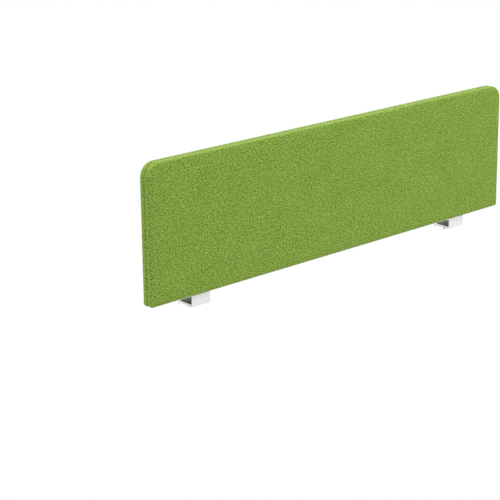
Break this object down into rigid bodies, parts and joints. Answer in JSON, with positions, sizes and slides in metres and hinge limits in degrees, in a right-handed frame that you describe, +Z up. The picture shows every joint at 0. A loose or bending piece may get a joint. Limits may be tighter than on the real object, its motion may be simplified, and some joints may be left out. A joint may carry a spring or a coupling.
{
  "type": "desk privacy panel",
  "caption": "Long fabric-covered desk privacy panel with rounded top corners, on two folded steel brackets that clamp a desktop's rear edge.",
  "frame": {"origin": "where the desktop's top meets its rear edge, midway between the brackets, at the height of the desk pads' undersides and in line with the rear plates' inner faces", "axes": "+X along the desk to the right as seen from behind it, +Y over the desktop towards the person who sits there, +Z up"},
  "size_m": [1.485, 0.078, 0.447],
  "materials": {
    "felt_cover": "green melange felt-like woven fabric, matt with a soft nap",
    "wadding": "white polyester wadding",
    "fibreboard": "brown hard fibreboard, smooth",
    "frame_timber": "planed softwood, unfinished",
    "infill": "grey sound-absorbing fibre slab",
    "tenon_wood": "beech slip, planed",
    "closing_strip": "dark woven closing strip",
    "staple_wire": "galvanised wire",
    "insert_brass": "brass, machined",
    "zinc_steel": "bright zinc plate",
    "powder_coat": "light grey powder coat, fine texture",
    "dark_rubber": "dark grey rubber, matt",
    "black_steel": "black oxide, oiled"
  },
  "bodies": {
    "screen": {"front_cover": "felt_cover", "back_cover": "felt_cover", "front_wadding": "wadding", "back_wadding": "wadding", "front_facing_board": "fibreboard", "back_facing_board": "fibreboard", "bottom_rail": "frame_timber", "top_rail": "frame_timber", "left_stile": "frame_timber", "right_stile": "frame_timber", "left_corner_block": "frame_timber", "right_corner_block": "frame_timber", "left_inner_stile": "frame_timber", "right_inner_stile": "frame_timber", "left_infill": "infill", "centre_infill": "infill", "right_infill": "infill", "frame_tenons": "tenon_wood", "closing_strip": "closing_strip", "closing_strip_staples": "staple_wire", "threaded_inserts": "insert_brass", "bracket_screws": "zinc_steel", "left_bracket": "powder_coat", "right_bracket": "powder_coat", "left_desk_pad": "dark_rubber", "right_desk_pad": "dark_rubber", "left_spacer_pad": "dark_rubber", "right_spacer_pad": "dark_rubber", "clamp_nuts": "zinc_steel"},
    "left_jaw": {"left_jaw": "powder_coat", "left_jaw_pad": "dark_rubber"},
    "left_clamp_screw_a": {"left_clamp_screw_a": "black_steel"},
    "left_clamp_screw_b": {"left_clamp_screw_b": "black_steel"},
    "right_jaw": {"right_jaw": "powder_coat", "right_jaw_pad": "dark_rubber"},
    "right_clamp_screw_a": {"right_clamp_screw_a": "black_steel"},
    "right_clamp_screw_b": {"right_clamp_screw_b": "black_steel"}
  },
  "joints": [
    {"name": "left_jaw_slide", "type": "slide", "parent": "screen", "child": "left_jaw", "axis": [0, 0, 1], "range_m": [0, 0.005]},
    {"name": "left_clamp_screw_a_turn", "type": "hinge", "parent": "left_jaw", "child": "left_clamp_screw_a", "pos_m": [-0.569, 0.032, -0.029], "axis": [0, 0, 1], "range_deg": [0, 1800]},
    {"name": "left_clamp_screw_b_turn", "type": "hinge", "parent": "left_jaw", "child": "left_clamp_screw_b", "pos_m": [-0.535, 0.032, -0.029], "axis": [0, 0, 1], "range_deg": [0, 1800]},
    {"name": "right_jaw_slide", "type": "slide", "parent": "screen", "child": "right_jaw", "axis": [0, 0, 1], "range_m": [0, 0.005]},
    {"name": "right_clamp_screw_a_turn", "type": "hinge", "parent": "right_jaw", "child": "right_clamp_screw_a", "pos_m": [0.535, 0.032, -0.029], "axis": [0, 0, 1], "range_deg": [0, 1800]},
    {"name": "right_clamp_screw_b_turn", "type": "hinge", "parent": "right_jaw", "child": "right_clamp_screw_b", "pos_m": [0.569, 0.032, -0.029], "axis": [0, 0, 1], "range_deg": [0, 1800]}
  ],
  "couplings": [
    {"joint": "left_clamp_screw_a_turn", "follows": "left_jaw_slide", "rad_per_m": 6283.2},
    {"joint": "left_clamp_screw_b_turn", "follows": "left_jaw_slide", "rad_per_m": 6283.2},
    {"joint": "right_clamp_screw_a_turn", "follows": "right_jaw_slide", "rad_per_m": 6283.2},
    {"joint": "right_clamp_screw_b_turn", "follows": "right_jaw_slide", "rad_per_m": 6283.2}
  ]
}
